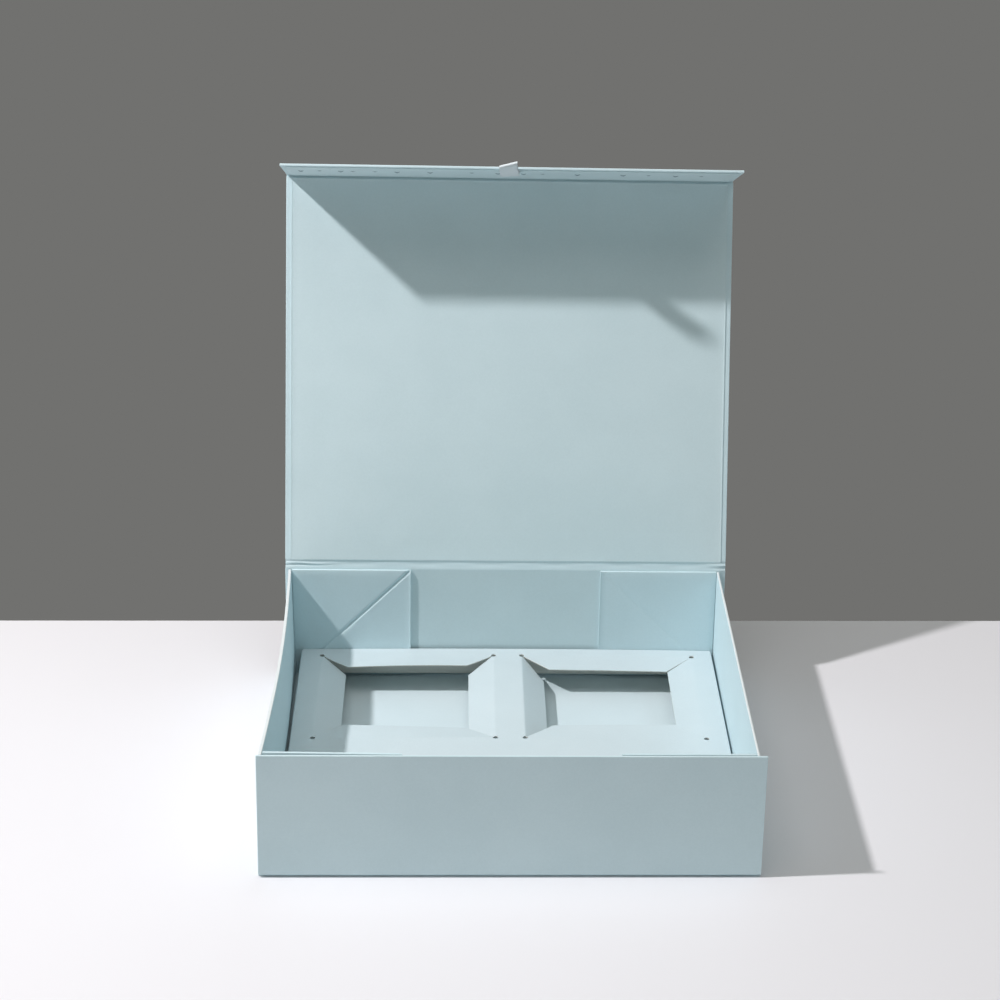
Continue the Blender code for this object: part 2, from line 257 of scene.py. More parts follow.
def paper_finish(name, light, dark, roughness, felt_height, speck_amount):
    finish, shader, place = new_finish(name, roughness)
    clouds = place.noise(26.0, 3.0)
    felt = place.noise(700.0, 4.0, 0.6)
    fibres_across = place.stretched((1.0, 6.0, 6.0)).noise(900.0, 2.0)
    fibres_along = place.stretched((6.0, 1.0, 1.0)).noise(900.0, 2.0)
    pulp = clouds * 0.45 + felt * 0.35 + fibres_across * 0.1 + fibres_along * 0.1
    colour = pulp.ramp(0.3, 0.7).tint(dark, light)
    speck_kind = {"feature": "F1", "distance": "EUCLIDEAN"}
    speck_cells = {"Vector": place, "Scale": 34.0}
    from_speck = place.node("ShaderNodeTexVoronoi", speck_kind, speck_cells)
    cell_tone = place.node("ShaderNodeTexVoronoi", speck_kind, speck_cells, 1)
    rare = cell_tone.node("ShaderNodeSeparateColor", {}, {"Color": cell_tone}).ramp(0.93, 0.94)
    speck = (1 - from_speck.ramp(0.012, 0.028)) * rare * speck_amount
    join(speck.over(colour, speck_colour), shader, "Base Color")
    join(roughness + (felt - 0.5) * 0.12, shader, "Roughness")
    relief = felt * 0.6 + fibres_across * 0.2 + fibres_along * 0.2
    bump = {"Height": relief, "Strength": 0.6, "Distance": felt_height}
    join(relief.node("ShaderNodeBump", {}, bump), shader, "Normal")
    return finish


wrap_paper = paper_finish("wrap_paper", wrap_colour, wrap_shade, 0.58, 0.00006, 0.4)


def dress(node, finish):
    """A CAD node keeps its shape and takes a better material."""
    solids[node].data.materials.clear()
    solids[node].data.materials.append(finish)


for board in ("base_board", "front_board", "back_board", "lid_board", "closing_flap_board"):
    dress(board, wrap_paper)


# Folds at the base: the case paper runs on from board to board over the fold, and is
# pressed back into the channel between them.
paper_thickness = 0.0004
base_groove_depth = 0.0012
fold_lap = 0.0006
ramp_share = 0.35
lap_sink_share = 0.3
bend_steps = 6
fold_cell = 0.01


def cut_once(shape, point, normal):
    geometry = shape.verts[:] + shape.edges[:] + shape.faces[:]
    bmesh.ops.bisect_plane(shape, geom=geometry, plane_co=point, plane_no=normal)


def cut_cells(shape, low, high, axis, cell):
    """Cuts a shape square to an axis, into cells of about the given size."""
    count = max(1, round((high[axis] - low[axis]) / cell))
    normal = Vector((0, 0, 0))
    normal[axis] = 1
    for step in range(1, count):
        cut_once(shape, low.lerp(high, step / count), normal)


def swept(section, start, end, cell):
    """A strip along X between start and end, with the section (y, z) as its outline."""
    shape = bmesh.new()
    shape.faces.new([shape.verts.new((start, y, z)) for y, z in section])
    sides = bmesh.ops.extrude_face_region(shape, geom=shape.faces[:])["geom"]
    moved = [part for part in sides if isinstance(part, bmesh.types.BMVert)]
    bmesh.ops.translate(shape, vec=(end - start, 0, 0), verts=moved)
    bmesh.ops.recalc_face_normals(shape, faces=shape.faces)
    cut_cells(shape, Vector((start, 0, 0)), Vector((end, 0, 0)), 0, cell)
    return shape


def finish_piece(name, shape, finishes, replaced, sharp_deg=12.0):
    """Turns a bmesh into a piece of the box that stands for its CAD nodes."""
    mesh = bpy.data.meshes.new(name)
    shape.to_mesh(mesh)
    shape.free()
    mesh.shade_smooth()
    mesh.set_sharp_from_angle(angle=radians(sharp_deg))
    for finish in finishes:
        mesh.materials.append(finish)
    piece = bpy.data.objects.new(name, mesh)
    bpy.context.scene.collection.objects.link(piece)
    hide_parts(*replaced)
    return piece


def fold_section(corner, first, first_in, second, second_in, lengths, depth, thickness):
    """Outline (y, z) of a paper that dips into the channel between two boards.

    first and second lead from the fold's corner to each board's edge, and the two others
    point into the box, square to them.
    """
    mitre = (first_in + second_in) / (1 + first_in.dot(second_in))

    def path(extra):
        reach = depth + extra
        control = corner + mitre * reach
        ends = []
        for way, inwards, length in zip((first, second), (first_in, second_in), lengths):
            lap = inwards * (depth * lap_sink_share + extra)
            edge = corner + way * (length + fold_lap) + lap
            sunk = corner + way * length * (1 - ramp_share) + inwards * reach
            ends.append((edge, sunk))
        (first_edge, first_sunk), (second_edge, second_sunk) = ends
        bend = []
        for step in range(bend_steps + 1):
            t = step / bend_steps
            early, late = first_sunk.lerp(control, t), control.lerp(second_sunk, t)
            bend.append(early.lerp(late, t))
        return [first_edge, *bend, second_edge]

    return path(0.0) + path(thickness)[::-1]


half_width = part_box("front_board")[1].x
case_front, case_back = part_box("front_board")[0].y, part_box("back_board")[1].y
upright_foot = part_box("front_board")[0].z
for end_name, end in (("front", -1), ("back", 1)):
    inwards, upwards = Vector((-end, 0)), Vector((0, 1))
    fold = fold_section(
        Vector((case_back if end > 0 else case_front, 0)),
        inwards,
        upwards,
        upwards,
        inwards,
        (upright_foot, upright_foot),
        base_groove_depth,
        paper_thickness,
    )
    fold_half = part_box(f"{end_name}_base_hinge")[1].x
    strip = swept(fold, -fold_half, fold_half, fold_cell)
    name = f"{end_name}_base_fold"
    piece = finish_piece(name, strip, [wrap_paper], [f"{end_name}_base_hinge"])
    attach(piece, "tray")


# Lid hinge: paper inside and out spans the channel between the back board and the lid. It
# is pressed deepest just under the lid, and its ends have puckered where it was pinched.
lining_sheet = 0.0002
lining_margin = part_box("lid_lining")[1].x
hinge_dip, hinge_outer_dip = 0.0005, 0.0004
deepest_share = 0.70
hinge_steps = 24
hinge_cell = 0.002
fold_end_inset = 0.0002
# Across the channel, each pinch is a ridge beside a dent: height, middle and width of each.
left_pinch_reach, left_pinch_wander, left_pinch_wave = 0.042, 0.05, 0.0045
left_ridge, left_dent = (0.00075, 0.60, 0.13), (0.0005, 0.36, 0.10)
right_pinch_reach = 0.016
right_ridge, right_dent = (0.0008, 0.62, 0.16), (0.0006, 0.22, 0.12)
hinge_ripple, hinge_ripple_run = (0.00012, 0.5, 0.2), 0.0071


def hanging_place(joint, turned):
    """The place of a panel that hangs on a hinge along X, from its closed position."""
    return Matrix.Translation(joint["pos_m"]) @ Matrix.Rotation(-turned, 4, "X")


lid_turn = pi / 2 + radians(90 - joints["lid_hinge"]["range_deg"][1])
flap_turn = lid_turn - radians(joints["closing_flap_hinge"]["range_deg"][0])
lid_place = hanging_place(joints["lid_hinge"], lid_turn)
flap_place = hanging_place(joints["closing_flap_hinge"], flap_turn)
tray_place = Matrix.Identity(4)


def local_box(node, place):
    """Lowest and highest corner of a CAD node in a panel's own frame."""
    inward = place.inverted()
    points = [inward @ vertex.co for vertex in solids[node].data.vertices]
    return Vector(map(min, zip(*points))), Vector(map(max, zip(*points)))


def smooth_step(value):
    value = min(1.0, max(0.0, value))
    return value * value * (3 - 2 * value)


def section_point(place, y, z):
    moved = place @ Vector((0, y, z))
    return Vector((moved.y, moved.z))


def dipped(start, end, depth, deepest):
    """Points from start to end that sink by depth, away from the box's inside."""
    way = end - start
    outwards = Vector((way.y, -way.x)).normalized()
    points = []
    for step in range(hinge_steps + 1):
        share = step / hinge_steps
        run = share / deepest if share < deepest else (1 - share) / (1 - deepest)
        points.append(start.lerp(end, share) + outwards * depth * smooth_step(run))
    return points


def bell(value, middle, width):
    return exp(-(((value - middle) / width) ** 2))


def swell(value, shape, shift=0.0):
    height, middle, width = shape
    return height * bell(value, middle + shift, width)


def pinch(x, share):
    """How far the inner face of the lid hinge rises, mostly near its two ends."""
    from_left, from_right = half_width + x, half_width - x
    left = 1 - smooth_step(from_left / left_pinch_reach)
    wander = left_pinch_wander * sin(from_left / left_pinch_wave)
    left_rise = swell(share, left_ridge, wander) - swell(share, left_dent, wander)
    right = 1 - smooth_step(from_right / right_pinch_reach)
    right_rise = swell(share, right_ridge) - swell(share, right_dent)
    ripple = sin(x / hinge_ripple_run) * swell(share, hinge_ripple)
    return left * left_rise + right * right_rise + ripple


lid_low, lid_high = local_box("lid_board", lid_place)
back_low, back_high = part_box("back_board")
inner_path = dipped(
    Vector((back_low.y - lining_sheet, back_high.z)),
    section_point(lid_place, lid_high.y, lid_low.z - lining_sheet),
    hinge_dip,
    deepest_share,
)
outer_path = dipped(
    Vector((back_high.y, back_high.z)),
    section_point(lid_place, lid_high.y, lid_high.z),
    -hinge_outer_dip,
    0.5,
)
fold_start, fold_end = fold_end_inset - half_width, half_width - fold_end_inset
strip = swept([*inner_path, *outer_path[::-1]], fold_start, fold_end, hinge_cell)
for side in (-1, 1):
    cut_once(strip, Vector((side * lining_margin, 0, 0)), Vector((1, 0, 0)))
channel_foot, channel_head = inner_path[0], inner_path[-1]
channel_way = channel_head - channel_foot
channel_out = Vector((channel_way.y, -channel_way.x)).normalized()
for vertex in strip.verts:
    from_foot = Vector((vertex.co.y, vertex.co.z)) - channel_foot
    if from_foot.dot(channel_out) < hinge_dip + lining_sheet:
        share = from_foot.dot(channel_way) / channel_way.length_squared
        rise = pinch(vertex.co.x, share) * sin(pi * min(1.0, max(0.0, share)))
        rise -= lining_sheet * (abs(vertex.co.x) > lining_margin)
        vertex.co.y -= channel_out.x * rise
        vertex.co.z -= channel_out.y * rise
lid_hinge_fold = finish_piece(
    "lid_hinge_fold", strip, [wrap_paper], ["lid_hinge_paper"], 50.0
)
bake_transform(lid_hinge_fold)


# Flap hinge: the same paper folded at a right angle between the lid and the closing flap. It
# is glued to both boards, and pressed a little into the channel between them.
flap_groove_depth = 0.0006
flap_hinge_thickness = 0.0006
flap_hinge_cell = 0.006


def plane_way(place, y, z):
    moved = place.to_3x3() @ Vector((0, y, z))
    return Vector((moved.y, moved.z))


flap_low, flap_high = local_box("closing_flap_board", flap_place)
flap_axis = Vector(joints["closing_flap_hinge"]["pos_m"])
lid_end = (lid_place.inverted() @ flap_axis).y
flap_fold = fold_section(
    Vector((flap_axis.y, flap_axis.z)),
    plane_way(lid_place, 1, 0),
    plane_way(lid_place, 0, -1),
    plane_way(flap_place, 0, -1),
    plane_way(flap_place, 1, 0),
    (lid_low.y - lid_end, -flap_high.z),
    flap_groove_depth,
    flap_hinge_thickness,
)
strip = swept(flap_fold, fold_start, fold_end, flap_hinge_cell)
flap_hinge_fold = finish_piece(
    "flap_hinge_fold", strip, [wrap_paper], ["flap_hinge_paper"], 30.0
)
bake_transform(flap_hinge_fold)


# Linings: thin sheets glued inside the boards, a little short of their edges. The case paper
# turned in below them shows as a faint step. The flap's lining has a row of small puckers, and
# its slit for the ribbon gapes at both ends.
# The puckers and the slit's gaping ends take a dark paper on their raised faces: painted shade.
lining_colour = (0.645, 0.79, 0.825)
lining_shade = (0.60, 0.745, 0.78)
floor_colour, floor_shade = (0.635, 0.75, 0.79), (0.60, 0.715, 0.755)
turn_in_width = 0.0185
turn_in_step = 0.00005
turn_in_blend = 0.0016
sheet_wave, sheet_wave_run, sheet_wave_inset = 0.00012, 0.07, 0.012
floor_wave_run = 0.06
edge_lift, edge_lift_width = 0.00022, 0.0012
sheet_cell, floor_cell = 0.005, 0.006
ribbon_slit = 0.027
pucker_width, pucker_length = 0.0018, 0.0010
high_pucker, low_pucker = 0.0011, 0.0006
least_shaded_rise = 0.0003
pucker_painted_shade_colour, pucker_painted_shade_dark = (0.30, 0.41, 0.46), (0.26, 0.36, 0.41)
high_puckers = (-0.1379, -0.1121, -0.0754, -0.0537, 0.0428, 0.0729, 0.1075)
low_puckers = (-0.126, -0.1042, -0.0897, -0.0264, 0.02, 0.0897, 0.1246)
slit_ends, slit_gape = (-0.0092, 0.0074), 0.0011

lining_paper = paper_finish("lining_paper", lining_colour, lining_shade, 0.62, 0.00005, 0.8)
pucker_painted_shade_paper = paper_finish("pucker_painted_shade_paper", pucker_painted_shade_colour, pucker_painted_shade_dark, 0.7, 0.00005, 0.8)


def panel(low, high, long_axes, radius, cell):
    """A flat panel with its edges turned on a small radius, cut into cells."""
    shape = bmesh.new()
    bmesh.ops.create_cube(shape, size=1)
    bmesh.ops.scale(shape, vec=high - low, verts=shape.verts)
    bmesh.ops.translate(shape, vec=(low + high) / 2, verts=shape.verts)
    bmesh.ops.bevel(
        shape,
        geom=shape.edges[:],
        offset=radius,
        segments=3,
        profile=0.5,
        affect="EDGES",
        material=-1,
    )
    for axis in long_axes:
        cut_cells(shape, low, high, axis, cell)
    return shape


def wave(point, size, seed):
    """Gentle unevenness of a sheet, from -1 to 1."""
    return noise.noise(point / size + Vector((seed, seed * 0.7, 0)))


def line_sheet(name, node, board, place, thin, inner, hinge_side, body, seed, puckers=()):
    """A lining on the inner face of its board.

    thin is the axis through the sheet, and inner is 1 where the box's inside lies at its
    high end, or -1 at its low end. At hinge_side it runs to the end of its board.
    """
    low, high = local_box(node, place)
    board_low, board_high = local_box(board, place)
    face = board_high[thin] if inner > 0 else board_low[thin]
    low[thin], high[thin] = sorted((face, face + inner * lining_sheet))
    long_axes = [axis for axis in range(3) if axis != thin]
    if hinge_side:
        high[long_axes[1]] = board_high[long_axes[1]]
    shape = panel(low, high, long_axes, lining_sheet / 4, sheet_cell)
    for axis in long_axes:
        square = Vector((0, 0, 0))
        square[axis] = 1
        for end, board_end, way in ((low, board_low, 1), (high, board_high, -1)):
            cuts = [board_end[axis] + way * turn_in_width]
            cuts.append(cuts[0] + way * turn_in_blend)
            cuts += [end[axis] + way * edge_lift_width * share for share in (0.4, 0.7, 1.0)]
            for cut in cuts:
                point = end.copy()
                point[axis] = cut
                cut_once(shape, point, square)
    for step in range(-5, 6):
        for pucker_x, pucker_z, height in puckers:
            cut_once(shape, Vector((pucker_x + step * pucker_width / 2, 0, 0)), Vector((1, 0, 0)))
        for row in {pucker_z for pucker_x, pucker_z, height in puckers}:
            cut_once(shape, Vector((0, 0, row + step * pucker_length / 2)), Vector((0, 0, 1)))
    # Faces high on a pucker or on a gaping slit end take the dark paper, as painted shade.
    for part in shape.faces:
        middle = part.calc_center_median()
        for pucker_x, pucker_z, height in puckers:
            across = bell(middle.x, pucker_x, pucker_width)
            if height * across * bell(middle.z, pucker_z, pucker_length) > least_shaded_rise:
                part.material_index = 1
    for vertex in shape.verts:
        if (vertex.co[thin] - face) * inner < lining_sheet / 2:
            continue
        edge_insets = [
            (vertex.co[axis] - low[axis], high[axis] - vertex.co[axis]) for axis in long_axes
        ]
        if hinge_side:
            edge_insets[1] = (edge_insets[1][0], 1.0)
        from_edge = min(min(pair) for pair in edge_insets)
        inset = min(
            min(vertex.co[axis] - board_low[axis], board_high[axis] - vertex.co[axis])
            for axis in long_axes
        )
        raised = turn_in_step * (1 - smooth_step((inset - turn_in_width) / turn_in_blend))
        loose = smooth_step(inset / sheet_wave_inset)
        raised += sheet_wave * wave(vertex.co, sheet_wave_run, seed) * loose
        raised += edge_lift * (1 - smooth_step(from_edge / edge_lift_width))
        for pucker_x, pucker_z, height in puckers:
            across = bell(vertex.co.x, pucker_x, pucker_width)
            raised += height * across * bell(vertex.co.z, pucker_z, pucker_length)
        vertex.co[thin] += inner * raised
    bmesh.ops.transform(shape, matrix=place, verts=shape.verts)
    finishes = [lining_paper, pucker_painted_shade_paper] if puckers else [lining_paper]
    piece = finish_piece(name, shape, finishes, [node])
    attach(piece, body)
    return piece


slit_line = flap_low.z + ribbon_slit
flap_puckers = [(x, slit_line, high_pucker) for x in high_puckers]
flap_puckers += [(x, slit_line, low_pucker) for x in low_puckers]
flap_puckers += [(x, slit_line, slit_gape) for x in slit_ends]
for stem, node, board, place, thin, inner, hinge_side, body, puckers in (
    ("front", "front_lining", "front_board", tray_place, 1, 1, False, "tray", ()),
    ("back", "back_lining", "back_board", tray_place, 1, -1, True, "tray", ()),
    ("lid", "lid_lining", "lid_board", lid_place, 2, -1, True, "lid", ()),
    (
        "flap",
        "closing_flap_lining",
        "closing_flap_board",
        flap_place,
        1,
        1,
        False,
        "closing_flap",
        flap_puckers,
    ),
):
    seed = float(len(stem) + len(body))
    name = f"{stem}_inner_paper"
    piece = line_sheet(name, node, board, place, thin, inner, hinge_side, body, seed, puckers)
    if puckers:
        place.to_3x3() @ Vector((0, 1, 0))
        place @ Vector((0, flap_high.y, 0))
        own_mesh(piece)
floor_low, floor_high = local_box("floor_lining", tray_place)
floor_sheet = panel(floor_low, floor_high, (0, 1), lining_sheet / 4, floor_cell)
for vertex in floor_sheet.verts:
    if vertex.co.z > (floor_low.z + floor_high.z) / 2:
        vertex.co.z += sheet_wave * wave(vertex.co, floor_wave_run, 5.0)
floor_blue = paper_finish("floor_blue", floor_colour, floor_shade, 0.62, 0.00005, 0.8)
floor_paper = finish_piece(
    "floor_paper", floor_sheet, [floor_blue], ["floor_lining"]
)
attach(floor_paper, "tray")


# Side walls: wrapped boards hinged to the base by a paper angle. The left one leans out at
# both ends, and its middle bows into the tray, most at the level of the platform. The right
# one stands nearly straight. Along the top the paper is painted paler, a painted highlight.
wall_edge_radius = 0.0005
bow_height_share = 0.27
wall_shapes = {"left": (0.0025, 0.0032, 0.0028, 0.0018), "right": (0.0004, 0.0001, 0.0, 0.0)}
left_wall_swell = 0.0005
wall_wave, wall_wave_run = 0.0001, 0.05
wall_cell = 0.005
wall_top_highlight_colour, wall_top_highlight_dark = (0.76, 0.81, 0.815), (0.70, 0.76, 0.77)
wall_top_highlight_paper = paper_finish("wall_top_highlight_paper", wall_top_highlight_colour, wall_top_highlight_dark, 0.6, 0.00006, 0.2)


def wall_shift(point, side_name):
    """How far a point of a wall lies outside its upright place, from bow and lean."""
    low_bow, top_bow, front_lean, back_lean = wall_shapes[side_name]
    low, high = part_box(f"{side_name}_wall")
    rise = min(1.0, max(0.0, (point.z - low.z) / (high.z - low.z)))
    run = min(1.0, max(0.0, (point.y - low.y) / (high.y - low.y)))
    lean = front_lean + (back_lean - front_lean) * run
    if rise < bow_height_share:
        swing = smooth_step(rise / bow_height_share)
    else:
        swing = 1 - smooth_step((rise - bow_height_share) / (1 - bow_height_share))
    return lean * rise - (low_bow * swing + top_bow * rise) * sin(pi * run)


for side, side_name in ((-1, "left"), (1, "right")):
    node = f"{side_name}_wall"
    wall_low, wall_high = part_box(node)
    if side < 0:
        wall_low.x -= left_wall_swell
    wall = panel(wall_low, wall_high, (1, 2), wall_edge_radius, wall_cell)
    hinge_low, hinge_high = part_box(f"{node}_hinge")
    foot_z, leg = hinge_low.z, hinge_high.z - hinge_low.z
    inner_x = min(abs(wall_low.x), abs(wall_high.x))
    angle_section = [
        (inner_x, foot_z),
        (inner_x - leg, foot_z),
        (inner_x - leg, foot_z + lining_sheet),
        (inner_x - lining_sheet, foot_z + lining_sheet),
        (inner_x - lining_sheet, foot_z + leg),
        (inner_x, foot_z + leg),
    ]
    turned_section = [(-side * x, z) for x, z in angle_section]
    angle = swept(turned_section, hinge_low.y, hinge_high.y, wall_cell)
    bmesh.ops.rotate(angle, matrix=Matrix.Rotation(pi / 2, 3, "Z"), verts=angle.verts)
    wall.normal_update()
    # Faces that point up take the paler paper: a painted highlight on the wall's top.
    for face in wall.faces:
        face.material_index = 1 if face.normal.z > 0.5 else 0
    for shape in (wall, angle):
        for vertex in shape.verts:
            shift = side * wall_shift(vertex.co, side_name)
            vertex.co.x += shift + wall_wave * wave(vertex.co, wall_wave_run, 6.0)
    wall_papers = [wrap_paper, wall_top_highlight_paper]
    wall_piece = finish_piece(f"{side_name}_side_wall", wall, wall_papers, [node])
    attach(wall_piece, "tray")
    angle_piece = finish_piece(
        f"{side_name}_wall_angle", angle, [wrap_paper], [f"{node}_hinge"]
    )
    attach(angle_piece, "tray")


# Gusset wings: each is two boards under one paper, glued by its lower half to the front or
# back board, with a pressed crease at 45 degrees along which it folds with the wall. The
# groove is steeper on the glued side than on the folding side.
steep_width, gentle_width = 0.0014, 0.0018
crease_depths = {
    "back_left": 0.0010,
    "back_right": 0.00022,
    "front_left": 0.0006,
    "front_right": 0.0005,
}
front_wing_leans = {"left": (0.0010, 0.0030), "right": (0.0013, 0.0013)}
wing_edge_radius = 0.00035
wing_trims = {"left": 0.0017, "right": 0.0010}
lip_height, lip_width = 0.0003, 0.0011
crease_fade, fade_start, fade_run = 0.6, 0.4, 0.5
wall_reach = 0.008
wing_cell = 0.005

for end, end_name in ((-1, "front"), (1, "back")):
    for side, side_name in ((-1, "left"), (1, "right")):
        stem = f"{end_name}_{side_name}"
        nodes = [f"{stem}_gusset_glued", f"{stem}_gusset_folding"]
        boxes = [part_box(node) for node in nodes]
        wing_low = Vector(map(min, *(box[0] for box in boxes)))
        wing_high = Vector(map(max, *(box[1] for box in boxes)))
        board_low, board_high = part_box(f"{end_name}_board")
        if end < 0:
            wing_low.y = board_high.y + lining_sheet
        else:
            wing_high.y = board_low.y - lining_sheet
        if side < 0:
            wing_high.x -= wing_trims[side_name]
        else:
            wing_low.x += wing_trims[side_name]
        inner_x = wing_high.x if side < 0 else wing_low.x
        corner = Vector((side * max(abs(wing_low.x), abs(wing_high.x)), 0, wing_low.z))
        wing = panel(wing_low, wing_high, (0, 2), wing_edge_radius, wing_cell)
        slant = Vector((side, 0, 1)).normalized()
        for offset in (-1, -0.75, -0.5, -0.25, 0, 0.35, 0.7, 1):
            width = gentle_width if offset < 0 else steep_width
            cut_once(wing, corner - slant * offset * width, slant)
        for share in (0.5, 1.0):
            edge_place = Vector((inner_x + side * lip_width * share, 0, 0))
            cut_once(wing, edge_place, Vector((1, 0, 0)))
        middle = (wing_low.y + wing_high.y) / 2
        for vertex in wing.verts:
            offset = (corner - vertex.co).dot(slant)
            width = gentle_width if offset < 0 else steep_width
            fall = (wing_high.z - vertex.co.z) / (wing_high.z - wing_low.z)
            faded = crease_fade * smooth_step((fall - fade_start) / fade_run)
            pressed = crease_depths[stem] * (1 - faded)
            depth = pressed * (1 - smooth_step(abs(offset) / width))
            rise = (vertex.co.z - wing_low.z) / (wing_high.z - wing_low.z)
            closeness = smooth_step(1 - (corner.x - vertex.co.x) * side / wall_reach)
            if (vertex.co.y - middle) * -end > 0:
                lip = 1 - smooth_step(abs(vertex.co.x - inner_x) / lip_width)
                vertex.co.y += end * (depth - lip_height * lip)
            if end < 0:
                inner_lean, outer_lean = front_wing_leans[side_name]
                outwards = (vertex.co.x - inner_x) / (corner.x - inner_x)
                vertex.co.y += (inner_lean + (outer_lean - inner_lean) * outwards) * rise * rise
            vertex.co.x += side * closeness * max(0.0, wall_shift(vertex.co, side_name))
        piece = finish_piece(f"{stem}_wing", wing, [wrap_paper], nodes, 25.0)
        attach(piece, "tray")


# Closure: plated disc magnets in the flap and plain steel discs in the front board, both
# sealed in pockets under the linings.
disc_dark, disc_light = (0.50, 0.50, 0.51), (0.66, 0.66, 0.67)
disc_metal, disc_shader, disc_place = new_finish("disc_metal", 0.35, 0.5, 1.0)
brushed = disc_place.stretched((40.0, 1.0, 1.0)).noise(500.0, 3.0)
metal_tone = brushed.ramp(0.3, 0.7).tint(disc_dark, disc_light)
join(metal_tone, disc_shader, "Base Color")
join(brushed * 0.2 + 0.25, disc_shader, "Roughness")
for side_name in ("left", "right"):
    dress(f"{side_name}_magnet", disc_metal)
    dress(f"{side_name}_keeper", disc_metal)


# Card platform: one sheet of coated card, blue above and grey below, with two die-cut
# windows, a round relief hole at each window corner, and skirts folded down at its edges. It
# crowns a little, meets the back lining, and its back skirt leans in above a dark slit.
card = 0.0006
card_blue = (0.60, 0.70, 0.735)
card_blue_shade = (0.57, 0.67, 0.705)
card_grey = (0.76, 0.76, 0.72)
card_grey_light = (0.80, 0.80, 0.76)
cut_edge_colour = (0.58, 0.57, 0.53)
crease_margin = 0.0010
relief_radius = 0.0017
fold_radius = 0.0008
platform_crown = 0.0009
back_reach = 0.0018
back_foot_gap = 0.0025
back_foot_lean = 0.0026
side_trims = {"left": 0.0007, "right": 0.0009}
arc_steps = 8
card_cell = 0.01


def card_finish(name, light, dark, roughness, flecks):
    finish, shader, place = new_finish(name, roughness, 0.35)
    clouds = place.noise(40.0, 3.0)
    felt = place.noise(900.0, 3.0, 0.6)
    fibres = place.stretched((1.0, 5.0, 5.0)).noise(1100.0, 3.0)
    pulp = clouds * 0.4 + felt * (0.6 - flecks) + fibres * flecks
    join(pulp.ramp(0.32, 0.68).tint(dark, light), shader, "Base Color")
    join(roughness + (felt - 0.5) * 0.1, shader, "Roughness")
    relief = {"Height": felt * 0.7 + fibres * 0.3, "Strength": 0.5, "Distance": 0.00004}
    join(felt.node("ShaderNodeBump", {}, relief), shader, "Normal")
    return finish


card_face = card_finish("card_face", card_blue, card_blue_shade, 0.52, 0.1)
card_back = card_finish("card_back", card_grey_light, card_grey, 0.75, 0.4)
card_edge = card_finish("card_edge", cut_edge_colour, card_grey_light, 0.8, 0.3)
card_finishes = [card_face, card_back, card_edge]

top_low, top_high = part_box("platform_top")
platform_centre = (top_low + top_high) / 2
half_size = (top_high - top_low) / 2
skirt_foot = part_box("platform_front_skirt")[0].z
window_boxes = {}
for side_name in ("left", "right"):
    creases = {
        edge: Vector(joints[f"{side_name}_window_flap_{edge}_crease"]["pos_m"])
        for edge in ("left", "right", "front", "back")
    }
    window_boxes[side_name] = (
        Vector((creases["left"].x, creases["front"].y)),
        Vector((creases["right"].x, creases["back"].y)),
    )


def crown(shape):
    """Lifts the platform's middle, and leaves its skirts' feet and its ends in place."""
    for vertex in shape.verts:
        share = (vertex.co.x - platform_centre.x) / half_size.x
        rise = min(1.0, max(0.0, (vertex.co.z - skirt_foot) / (top_high.z - skirt_foot)))
        vertex.co.z += platform_crown * (1 - share * share) * rise


def closed_outline(shape, points):
    corners = [shape.verts.new(point) for point in points]
    return [shape.edges.new(pair) for pair in zip(corners, corners[1:] + corners[:1])]


def face_by_normal(shape, up):
    """Blue face on top, grey back below and raw card at the cut edges."""
    for face in shape.faces:
        tilt = face.normal.dot(up)
        face.material_index = 0 if tilt > 0.5 else 1 if tilt < -0.5 else 2


def window_outline(low, high):
    """The sheet's opening: the window grown to its crease folds, with round corners."""
    sweep = pi * 0.75 - asin(crease_margin / relief_radius)
    points = []
    for quarter, (x, y) in enumerate(
        ((high.x, high.y), (low.x, high.y), (low.x, low.y), (high.x, low.y))
    ):
        for step in range(arc_steps + 1):
            angle = pi / 4 + quarter * pi / 2 + sweep * (2 * step / arc_steps - 1)
            rim = Vector((x + relief_radius * cos(angle), y + relief_radius * sin(angle)))
            points.append((rim.x, rim.y, top_high.z))
    return points


sheet = bmesh.new()
rim_low = top_low + Vector((side_trims["left"] + fold_radius, fold_radius, 0))
rim_high = top_high - Vector((side_trims["right"] + fold_radius, fold_radius - back_reach, 0))
rim_corners = [(rim_low.x, rim_low.y, top_high.z), (rim_high.x, rim_low.y, top_high.z)]
rim_corners += [(rim_high.x, rim_high.y, top_high.z), (rim_low.x, rim_high.y, top_high.z)]
outlines = closed_outline(sheet, rim_corners)
for window_low, window_high in window_boxes.values():
    outlines += closed_outline(sheet, window_outline(window_low, window_high))
bmesh.ops.triangle_fill(sheet, use_beauty=True, use_dissolve=False, edges=outlines)
for face in sheet.faces:
    if face.normal.z < 0:
        face.normal_flip()
cut_cells(sheet, top_low, top_high, 0, card_cell)
bottom = bmesh.ops.extrude_face_region(sheet, geom=sheet.faces[:])["geom"]
lowered = [part for part in bottom if isinstance(part, bmesh.types.BMVert)]
bmesh.ops.translate(sheet, vec=(0, 0, -card), verts=lowered)
bmesh.ops.recalc_face_normals(sheet, faces=sheet.faces)
sheet.normal_update()
face_by_normal(sheet, Vector((0, 0, 1)))
crown(sheet)
platform_sheet = finish_piece(
    "platform_sheet", sheet, card_finishes, ["platform_top"]
)
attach(platform_sheet, "platform")


def skirt_section(reach, top, foot, lean):
    """A skirt's outline (y, z): a small fold at the top and a flat leg leaning in by lean."""
    y, z = reach - fold_radius, top - fold_radius
    arcs = []
    for radius in (fold_radius, fold_radius - card):
        angles = [pi / 2 * step / (arc_steps // 2) for step in range(arc_steps // 2 + 1)]
        arcs.append([(y + radius * sin(angle), z + radius * cos(angle)) for angle in angles])
    return arcs[0] + [(reach - lean, foot), (reach - lean - card, foot)] + arcs[1][::-1]


